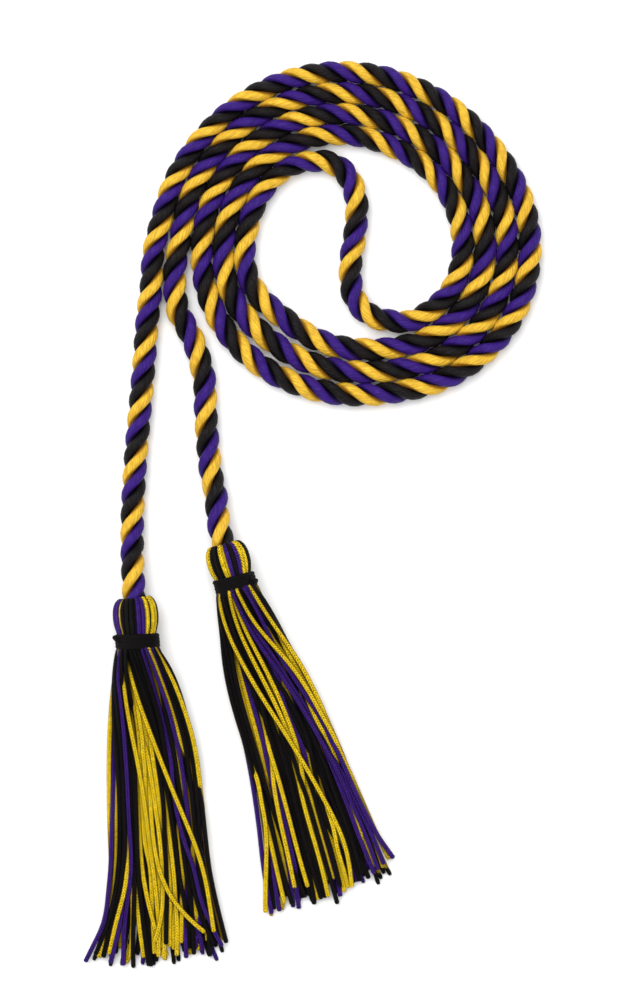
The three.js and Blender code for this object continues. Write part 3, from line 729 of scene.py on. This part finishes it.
def settle_yarns(target, height, layers, radius, in_table, limits, reach, shares):
    """Lets the yarns of a skirt down on each other and on the surface. Each column is a
    cut across the skirt, where yarns are discs that sink, keep near their aim and follow
    their own curve in the cuts beside it. Yarns of one layer push each other apart, and a
    yarn of a higher layer is lifted onto those of a lower one."""
    across = target.copy()
    there = shares[None, :] <= reach[:, None] + REACH_MARGIN
    both = there[:, None] & there[None] & ~np.eye(len(across), dtype=bool)[:, :, None]
    touching = radius[None, None, :] * 2
    layer_gap = layers[:, None] - layers[None]
    above = np.where(np.abs(layer_gap) > 0.5, np.sign(layer_gap), 0)
    hold = np.where(in_table, TABLE_HOLD, HIDDEN_HOLD)[:, None]
    give = np.where(in_table, TABLE_GIVE, 1)[:, None]
    neck = smooth_share(1 - shares / NECK_END)
    for step in range(SETTLE_STEPS):
        last_steps = step >= SETTLE_STEPS - LAST_STEPS
        if not last_steps:
            height = height - DROP_PER_STEP * (1 - neck)
            across = across + hold * (target - across)
        if not last_steps or step % 2:
            for line in (across, height, across, height):
                line[:, 1:-1] += STIFFNESS * (
                    (line[:, 2:] + line[:, :-2]) / 2 - line[:, 1:-1]
                )
                line[:, -1] += STIFFNESS * (2 * line[:, -2] - line[:, -3] - line[:, -1])
        gap_across = across[:, None] - across[None]
        gap_up = height[:, None] - height[None]
        apart = np.sqrt(gap_across**2 + gap_up**2) + 1e-6
        overlap = np.where(both & (above == 0), np.maximum(touching - apart, 0), 0)
        push = overlap * PUSH_APART / apart
        stacked = np.sqrt(np.maximum(touching**2 - gap_across**2, 0))
        lack = np.where(both & (above != 0), np.maximum(stacked - above * gap_up, 0), 0)
        lift = (LIFT * above * lack).sum(axis=1)
        across = across + give * (push * gap_across).sum(axis=1)
        height = height + (push * gap_up).sum(axis=1) + np.clip(lift, -MOST_LIFT, MOST_LIFT)
        across = np.clip(across, limits[0] + radius, limits[1] - radius)
        from_axis = np.hypot(across, height - HEAD_RADIUS)
        room = NECK_RADIUS - radius + ROOM_PAST_NECK * (1 - neck)
        pull = np.minimum(1, room / np.maximum(from_axis, 1e-6))
        across = across * pull
        height = HEAD_RADIUS + (height - HEAD_RADIUS) * pull
        height = np.maximum(height, radius * (1 + STITCH_RELIEF))
    return across, height


def covering(across, height, radius, shares, reach):
    """How many millimetres of other yarns lie over each yarn and under it, per station."""
    there = shares[None, :] <= reach[:, None]
    near = np.abs(across[:, None] - across[None]) / (COVER_WIDTH * radius)
    beside = np.where(there[None], np.clip(1 - near**2, 0, 1), 0)
    gap_up = height[None] - height[:, None]
    over = (np.maximum(gap_up, 0) * beside).max(axis=1)
    under = (np.maximum(-gap_up, 0) * beside).max(axis=1)
    return over, under


def skirt_yarns(rows, size, seed):
    """Colours, curves, radii and coverings of all yarns of a skirt, and whether each is
    hidden: those in the table on top, and under them the rest, spread by a seeded draw.
    Points are across, down and height."""
    draw = random.Random(seed)
    shares = np.linspace(0, LAST_STATION, SKIRT_STATIONS)
    half, crown = skirt_outline(shares)
    spread = smooth_share(shares / SPREAD_END)
    radius = NECK_YARN_RADIUS + (YARN_RADIUS - NECK_YARN_RADIUS) * spread
    floor_to_axis = HEAD_RADIUS * smooth_share(1 - shares / SPREAD_END)

    colours = [row[0] for row in rows]
    reach = [row[4] for row in rows]
    target = [through_stations(row[5:], row[4], shares) for row in rows]
    left = np.min(target, axis=0) - YARN_RADIUS
    right = np.max(target, axis=0) + YARN_RADIUS
    layers = [np.interp(shares, LAYER_STATIONS, (*row[1:3], *row[2:4])) for row in rows]
    hidden = YARNS_IN_A_SKIRT - len(rows)
    palette = ["black"] * 6 + ["purple"] * 2 + ["gold"] * 2
    for k in range(hidden):
        place = (k + 0.5) / hidden + draw.uniform(-0.02, 0.02)
        colours.append(palette[(7 * k + seed) % len(palette)])
        reach.append(draw.uniform(*HIDDEN_REACH))
        stray = draw.uniform(-HIDDEN_STRAY, HIDDEN_STRAY) * smooth_share(shares * 3 - 2)
        inside = HIDDEN_MARGIN + (1 - 2 * HIDDEN_MARGIN) * place
        target.append(left + (right - left) * inside + stray)
        layer = HIDDEN_TOP_LAYER - HIDDEN_LAYERS * draw.random()
        layers.append(np.full(SKIRT_STATIONS, layer))
    target = np.array(target)
    for k in range(len(target)):
        size_of_wave = draw.uniform(*WAVE_SIZES)
        wave = np.sin(shares * draw.uniform(*WAVE_RATES) + draw.uniform(0, 6))
        target[k] += size_of_wave * wave * smooth_share(shares * 4)
    reach = np.array(reach)
    layers = np.array(layers)

    middle = (left + right) / 2
    wide = (right - left) / 2
    arch = np.sqrt(np.maximum(0.05, 1 - ((target - middle) / (wide + 0.5)) ** 2))
    top = floor_to_axis + (crown - floor_to_axis) * arch - radius
    height = np.maximum(top + (layers - 1) * 2 * radius * LAYER_SPACING, radius)
    height = height + np.array([[draw.uniform(-0.15, 0.15)] for _ in colours])
    low = floor_to_axis * (1 - arch)
    height = np.maximum(height, low + radius)
    in_table = np.arange(len(target)) < len(rows)
    limits = (left[None, :], right[None, :])
    across, height = settle_yarns(
        target, height, layers, radius, in_table, limits, reach, shares
    )

    over, under = covering(across, height, radius, shares, reach)
    skirt_top = size["head_length"] + BINDING_LENGTH
    yarns = []
    for k, colour in enumerate(colours):
        down = skirt_top + shares * size["skirt_length"]
        curve = np.stack([across[k], down, height[k]], axis=1)
        kept = shares < reach[k] - 0.01
        last = [np.interp(reach[k], shares, curve[:, c]) for c in range(3)]
        start = curve[0] * (UNDER_BINDING, 1, UNDER_BINDING)
        start = start + (0, -3, (1 - UNDER_BINDING) * HEAD_RADIUS)
        control = np.vstack([start, curve[kept], last])
        radii = np.concatenate([radius[:1], radius[kept], [YARN_RADIUS]])
        cover = np.stack([over[k], under[k]], axis=1)
        cover = np.vstack([cover[:1], cover[kept], cover[kept][-1:]])
        yarns.append((colour, control, radii, cover, not in_table[k]))
    return yarns


def head_loops(words, size, shoulders):
    """Colours and curves of the yarns that go over a head into the rope's hole."""
    out, down, near_top = np.array(LOOP_PROFILE).T
    out = out * size["girth"]
    down = down * size["head_length"]
    found = []
    for word, start in zip(words, (-np.pi / 2, np.pi / 2)):
        widths = np.array([1.0 if letter.isupper() else THIN_LOOP for letter in word])
        edges = start + np.pi * np.concatenate([[0], np.cumsum(widths)]) / widths.sum()
        for letter, low, high in zip(word, edges, edges[1:]):
            turn = (low + high) / 2
            right_share = (1 + math.sin(turn)) / 2
            rise = shoulders[0] * (1 - right_share) + shoulders[1] * right_share
            raised = down - rise * near_top
            control = np.stack(
                [out * math.sin(turn), raised, HEAD_RADIUS + out * math.cos(turn)], axis=1
            )
            radii = np.minimum(out * (high - low) / 2 * LOOP_OVERLAP, YARN_RADIUS)
            found.append((LOOP_COLOURS[letter.lower()], control, radii))
    return found


def turned_tube(profile, size, sides=40):
    """Rings round the tassel's axis through a profile like FILLING_PROFILE."""
    profile = np.array(profile, float) * (size["girth"], size["head_length"])
    out, down = np.maximum(profile[:, 0], 0.02), profile[:, 1]
    angle = -2 * np.pi * np.arange(sides) / sides
    rings = np.stack([
        out[:, None] * np.sin(angle),
        down[:, None] * np.ones(sides),
        HEAD_RADIUS + out[:, None] * np.cos(angle),
    ], axis=-1)
    return rings, run_lengths(np.stack([out, down, down * 0], axis=1)), FILLING_DEPTH


def make_tassel(side, place, size, rows, loops, shoulders, seed, materials):
    tubes = {"black": [], "purple": [], "gold": []}
    for k, (colour, control, radii, cover, hidden) in enumerate(skirt_yarns(rows, size, seed)):
        points, along, depth = yarn_tube(control, radii, (0, 0, 1), cover, True, hidden)
        tubes[colour].append((points, along + k * YARN_OFFSET, depth))
    for k, (colour, control, radii) in enumerate(head_loops(loops, size, shoulders)):
        shoulder = control[SHOULDER_PLACE]
        outwards = shoulder - (0, shoulder[1], HEAD_RADIUS)
        points, along, depth = yarn_tube(control, radii, outwards)
        tubes[colour].append((points, along + k * YARN_OFFSET, depth))
    tubes["black"].append(turned_tube(FILLING_PROFILE, size))
    for colour, found in tubes.items():
        piece = make_tubes(f"{side}_tassel_{colour}", found, materials[colour], place.to_row)
        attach(piece, "root")
        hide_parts(f"tassel_{side}")


def make_binding(side, place, size, end, material):
    """One yarn wound round the neck, with its cut end standing out beside it."""
    draw = random.Random(len(side))
    turn = np.arange(WRAPS * STEPS_PER_WRAP + 1) / STEPS_PER_WRAP
    room = BINDING_LENGTH - 2 * WRAP_YARN_RADIUS
    down = size["head_length"] + WRAP_YARN_RADIUS + room * turn / WRAPS
    out = BINDING_RADIUS * size["girth"] - WRAP_YARN_RADIUS
    out = out - WRAP_UNEVENNESS * np.array([draw.random() for _ in turn])
    angle = 2 * np.pi * turn + np.pi
    control = np.stack([out * np.sin(angle), down, HEAD_RADIUS + out * np.cos(angle)], axis=1)
    tubes = [yarn_tube(control, [WRAP_YARN_RADIUS] * len(control), (0, 1, 0))]
    tail = np.array(end) + (0, size["head_length"], HEAD_RADIUS)
    tubes.append(yarn_tube(tail, [BINDING_END_RADIUS] * len(tail), (0, 0, 1), cut_end=True))
    piece = make_tubes(f"{side}_binding_yarn", tubes, material, place.to_row)
    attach(piece, "root")
    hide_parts(f"binding_{side}")


# Materials

class Nodes:
    """Short ways to add nodes to one tree."""

    def __init__(self, tree):
        self.tree = tree

    def add(self, kind, **settings):
        node = self.tree.nodes.new(kind)
        for key, value in settings.items():
            setattr(node, key, value)
        return node

    def link(self, source, target):
        self.tree.links.new(source, target)

    def feed(self, socket, value):
        if isinstance(value, bpy.types.NodeSocket):
            self.link(value, socket)
        else:
            socket.default_value = value

    def feed_all(self, node, values):
        for socket, value in zip(node.inputs, values):
            self.feed(socket, value)
        return node.outputs[0]

    def math(self, operation, *values):
        return self.feed_all(self.add("ShaderNodeMath", operation=operation), values)

    def times(self, first, second, plus=0.0):
        return self.math("MULTIPLY_ADD", first, second, plus)

    def wave(self, value):
        """Up and down between 0 and 1, once for each whole step of the value."""
        return self.math("ABSOLUTE", self.math("SINE", self.times(value, math.pi)))

    def parts(self, vector):
        node = self.add("ShaderNodeSeparateXYZ")
        self.link(vector, node.inputs[0])
        return node.outputs[0], node.outputs[1]

    def noise(self, first, second, scales, detail=2.0, roughness=0.5):
        cells = (self.times(first, scales[0]), self.times(second, scales[1]))
        place = self.feed_all(self.add("ShaderNodeCombineXYZ"), cells)
        node = self.add("ShaderNodeTexNoise", noise_dimensions="3D")
        self.link(place, node.inputs["Vector"])
        node.inputs["Scale"].default_value = 1.0
        node.inputs["Detail"].default_value = detail
        node.inputs["Roughness"].default_value = roughness
        return node.outputs["Fac"]

    def ramp(self, value, low, high):
        """Value mapped smoothly from low..high to 0..1."""
        node = self.add("ShaderNodeMapRange", interpolation_type="SMOOTHSTEP")
        self.feed(node.inputs["Value"], value)
        node.inputs["From Min"].default_value = low
        node.inputs["From Max"].default_value = high
        return node.outputs["Result"]

    def mix(self, share, first, second):
        node = self.add("ShaderNodeMix", data_type="RGBA")
        self.feed(node.inputs["Factor"], share)
        self.feed(node.inputs["A"], first)
        self.feed(node.inputs["B"], second)
        return node.outputs["Result"]

    def bump(self, height, metres, shader):
        node = self.add("ShaderNodeBump")
        node.inputs["Strength"].default_value = 1.0
        node.inputs["Distance"].default_value = metres
        self.link(height, node.inputs["Height"])
        self.link(node.outputs["Normal"], shader.inputs["Normal"])


def new_group(name, numbers, results):
    """A shader node group that takes the map "run" and some numbers, and gives out numbers:
    short ways to add to its nodes, what it is given, and the sockets of its results."""
    group = bpy.data.node_groups.new(name, "ShaderNodeTree")
    group.interface.new_socket("Run", in_out="INPUT", socket_type="NodeSocketVector")
    for socket, value in numbers.items():
        made = group.interface.new_socket(socket, in_out="INPUT", socket_type="NodeSocketFloat")
        made.default_value = value
    for socket in results:
        group.interface.new_socket(socket, in_out="OUTPUT", socket_type="NodeSocketFloat")
    given = group.nodes.new("NodeGroupInput").outputs
    return Nodes(group), given, group.nodes.new("NodeGroupOutput").inputs


def colour_between(first, second, share):
    return (*((1 - share) * a + share * b for a, b in zip(first, second)), 1.0)


def fine_filaments_group():
    """Fine fibres that lie aslant along a strand, in soft plies. Height is their relief,
    and Streaks tells dark fibres from light ones, with a painted highlight on the crown of
    each ply."""
    n, given, results = new_group(
        "Fine filaments", {"Around": 13.0, "Slant": 0.95, "Plies": 12.0}, ("Height", "Streaks")
    )
    along, around = n.parts(given["Run"])
    across = n.times(around, given["Around"])
    aslant = n.times(along, given["Slant"], plus=across)
    fibres = n.noise(along, aslant, FIBRE_SCALES, detail=3.0, roughness=0.6)
    broad = n.noise(along, aslant, BROAD_SCALES)
    turned = n.math("DIVIDE", aslant, given["Around"])
    wander = n.times(broad, PLY_WANDER)
    ply = n.wave(n.times(turned, given["Plies"], plus=wander))
    height = n.times(ply, PLY_HEIGHT, plus=n.times(fibres, FIBRE_HEIGHT))
    n.link(height, results["Height"])
    # dark and light fibres, less dark on the crown of each ply: a painted highlight
    streaks_and_highlight = n.times(ply, PLY_CROWN_HIGHLIGHT, plus=n.times(fibres, 0.5, plus=n.times(broad, 0.5)))
    n.link(n.ramp(streaks_and_highlight, *STREAK_RANGE), results["Streaks"])
    return n.tree


def crease_shade_group():
    """How deep a point lies in the crease between two strands, as a mask for painted shade:
    0 on the crown, 1 inside.
    """
    n, given, results = new_group("Painted crease shade", {"Begins": 0.34}, ("Depth",))
    _, around = n.parts(given["Run"])
    from_crown = n.times(n.math("ABSOLUTE", n.math("SUBTRACT", around, 0.5)), 2.0)
    past = n.math("SUBTRACT", from_crown, given["Begins"])
    n.link(n.ramp(past, *CREASE_RANGE), results["Depth"])
    return n.tree


def knitted_stitches_group():
    """The stitches of a knitted yarn, pointed down its length in a few columns. Gaps marks the
    hollows between the stitches, where the yarn material paints shade.
    """
    n, given, results = new_group(
        "Knitted stitches", {"Stitch": 1.0, "Columns": 3.0}, ("Height", "Gaps")
    )
    along, around = n.parts(given["Run"])
    column = n.math("FRACT", n.times(around, given["Columns"]))
    in_column = n.math("ABSOLUTE", n.math("SUBTRACT", column, 0.5))
    stitch = n.math("DIVIDE", along, given["Stitch"])
    uneven = n.noise(stitch, around, UNEVEN_SCALES)
    stitch = n.times(uneven, STITCH_WANDER, plus=stitch)
    ridge = n.wave(n.times(in_column, STITCH_POINT, plus=stitch))
    leg = n.wave(n.times(in_column, 2.0))
    height = n.times(n.math("POWER", ridge, STITCH_ROUNDNESS), n.times(leg, 0.5, plus=0.5))
    n.link(height, results["Height"])
    gaps = n.times(n.ramp(height, *GAP_RANGE), n.ramp(uneven, *UNEVEN_RANGE))
    n.link(gaps, results["Gaps"])
    return n.tree


def new_material(name):
    """A material, short ways to add to its nodes, and its shader."""
    material = bpy.data.materials.new(name)
    material.use_nodes = True
    n = Nodes(material.node_tree)
    return material, n, material.node_tree.nodes["Principled BSDF"]


def placed_group(n, group, run):
    node = n.add("ShaderNodeGroup", node_tree=group)
    n.link(run, node.inputs["Run"])
    return node.outputs


def strand_material(colour, filaments, crease):
    """Satin strand: fine slanting fibres, with a painted highlight on the crowns of the plies
    and warmer painted shade down in the creases.
    """
    material, n, shader = new_material(f"{colour}_strand")
    base, shade = COLOURS[colour]
    run = n.add("ShaderNodeUVMap", uv_map="run").outputs["UV"]
    fibres = placed_group(n, filaments, run)
    crease_shade = placed_group(n, crease, run)
    # fibre streaks, with the painted highlight on the ply crowns
    streaks_and_highlight = n.times(fibres["Streaks"], STREAK_DEPTH)
    streaked = n.mix(streaks_and_highlight, colour_between(base, shade, 0), colour_between(base, shade, 0.5))
    # painted shade, darker and warmer, down in the crease between strands
    dark = n.mix(crease_shade["Depth"], streaked, colour_between(base, shade, 1))
    n.link(dark, shader.inputs["Base Color"])
    n.link(n.times(fibres["Streaks"], 0.14, plus=0.42), shader.inputs["Roughness"])
    shader.inputs["Specular IOR Level"].default_value = 0.15
    n.bump(fibres["Height"], 0.0003, shader)
    return material


def yarn_material(name, colour, stitches, roughness):
    """Knitted yarn: pointed stitches, with painted shade in the gaps between them and where
    the yarn lies deep among the others."""
    material, n, shader = new_material(name)
    base, shade = YARN_COLOURS[colour]
    run = n.add("ShaderNodeUVMap", uv_map="run").outputs["UV"]
    knit = placed_group(n, stitches, run)
    along, around = n.parts(run)
    worn = n.ramp(n.noise(along, around, WORN_SCALES), *WORN_RANGE)
    body = n.mix(worn, colour_between(base, shade, 0), colour_between(base, shade, 0.2))
    # painted shade in the gaps between stitches
    gaps = n.times(knit["Gaps"], YARN_GAP_SHADE[colour])
    knitted = n.mix(gaps, body, colour_between(base, shade, 1))
    # painted shade where the yarn lies deep among the others
    depth = n.add("ShaderNodeAttribute", attribute_name="depth").outputs["Fac"]
    deep_shade = n.times(n.ramp(depth, *BURIED_RANGE), BURIED_SHADE)
    dark = n.mix(deep_shade, knitted, colour_between(base, shade, 1))
    n.link(dark, shader.inputs["Base Color"])
    n.link(n.times(knit["Gaps"], 0.15, plus=roughness), shader.inputs["Roughness"])
    shader.inputs["Specular IOR Level"].default_value = 0.12
    n.bump(knit["Height"], 0.00035, shader)
    return material


# Surface, light and camera

def make_surface():
    half = 3.0
    mesh = bpy.data.meshes.new("surface")
    mesh.from_pydata(
        [(-half, -half, 0), (half, -half, 0), (half, half, 0), (-half, half, 0)], [], [(0, 1, 2, 3)]
    )
    material, _, shader = new_material("pale_surface")
    shader.inputs["Base Color"].default_value = (0.93, 0.93, 0.93, 1)
    shader.inputs["Roughness"].default_value = 0.9
    mesh.materials.append(material)
    surface = bpy.data.objects.new("surface", mesh)
    bpy.context.scene.collection.objects.link(surface)


def make_lamp(name, place, size, power, aim=(0, 0, 0)):
    lamp = bpy.data.lights.new(name, "AREA")
    lamp.size = size
    lamp.energy = power
    holder = bpy.data.objects.new(name, lamp)
    holder.location = place
    direction = np.array(aim, float) - np.array(place, float)
    holder.rotation_euler = direction_angles(direction)
    bpy.context.scene.collection.objects.link(holder)


def direction_angles(direction):
    """Turns of a lamp, which shines down its own -Z, towards a direction."""
    x, y, z = direction
    tilt = math.atan2(math.hypot(x, y), -z)
    return (tilt, 0, math.atan2(x, -y) + math.pi)


def make_light():
    scene = bpy.context.scene
    scene.view_settings.view_transform = "Standard"
    world = bpy.data.worlds.new("soft_room")
    scene.world = world
    world.use_nodes = True
    background = world.node_tree.nodes["Background"]
    background.inputs["Color"].default_value = (1, 1, 1, 1)
    background.inputs["Strength"].default_value = 0.62
    make_lamp("window_light", (-0.38, 0.52, 1.4), 1.3, 24)
    make_lamp("fill_light", (0.8, -0.5, 1.3), 1.2, 5)


def make_camera(drawing):
    """Straight down at the photograph's frame."""
    width, height = PHOTO_SIZE
    middle = (
        (width / 2 - COIL_CENTRE_PIXEL[0]) * MM_PER_PIXEL,
        (COIL_CENTRE_PIXEL[1] - height / 2) * MM_PER_PIXEL,
        CAMERA_HEIGHT + ROPE_DIAMETER / 2,
    )
    data = bpy.data.cameras.new("camera")
    data.sensor_width = 36
    data.lens = data.sensor_width * CAMERA_HEIGHT / (height * MM_PER_PIXEL)
    data.clip_end = 20
    camera = bpy.data.objects.new("camera", data)
    camera.location = drawing.to_row(middle)
    bpy.context.scene.collection.objects.link(camera)
    bpy.context.scene.camera = camera


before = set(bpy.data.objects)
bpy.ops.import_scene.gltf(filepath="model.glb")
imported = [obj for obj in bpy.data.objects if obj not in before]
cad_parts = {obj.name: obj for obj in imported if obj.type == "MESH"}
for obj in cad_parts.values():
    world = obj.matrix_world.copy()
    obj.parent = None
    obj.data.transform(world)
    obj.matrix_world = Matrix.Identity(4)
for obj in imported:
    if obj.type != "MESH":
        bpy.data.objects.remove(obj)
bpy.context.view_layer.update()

route = Route()
drawing = Drawing(route)
make_camera(drawing)
make_light()
make_surface()

filaments = fine_filaments_group()
crease = crease_shade_group()
stitches = knitted_stitches_group()

for strand_colour in STRAND_TURNS:
    make_strand(strand_colour, route, drawing, strand_material(strand_colour, filaments, crease))

yarn_materials = {
    colour: yarn_material(f"{colour}_tassel_yarn", colour, stitches, 0.5) for colour in YARN_GAP_SHADE
}
left = TasselFrame(drawing, route.left_top, LEFT_TASSEL)
right = TasselFrame(drawing, route.right_top, RIGHT_TASSEL)
make_tassel("left", left, LEFT_TASSEL, LEFT_YARNS, LEFT_LOOPS, LEFT_SHOULDERS, 3, yarn_materials)
make_tassel(
    "right", right, RIGHT_TASSEL, RIGHT_YARNS, RIGHT_LOOPS, RIGHT_SHOULDERS, 8, yarn_materials
)

binding_material = yarn_material("binding_yarn", "black", stitches, 0.7)
make_binding("left", left, LEFT_TASSEL, LEFT_BINDING_END, binding_material)
make_binding("right", right, RIGHT_TASSEL, RIGHT_BINDING_END, binding_material)
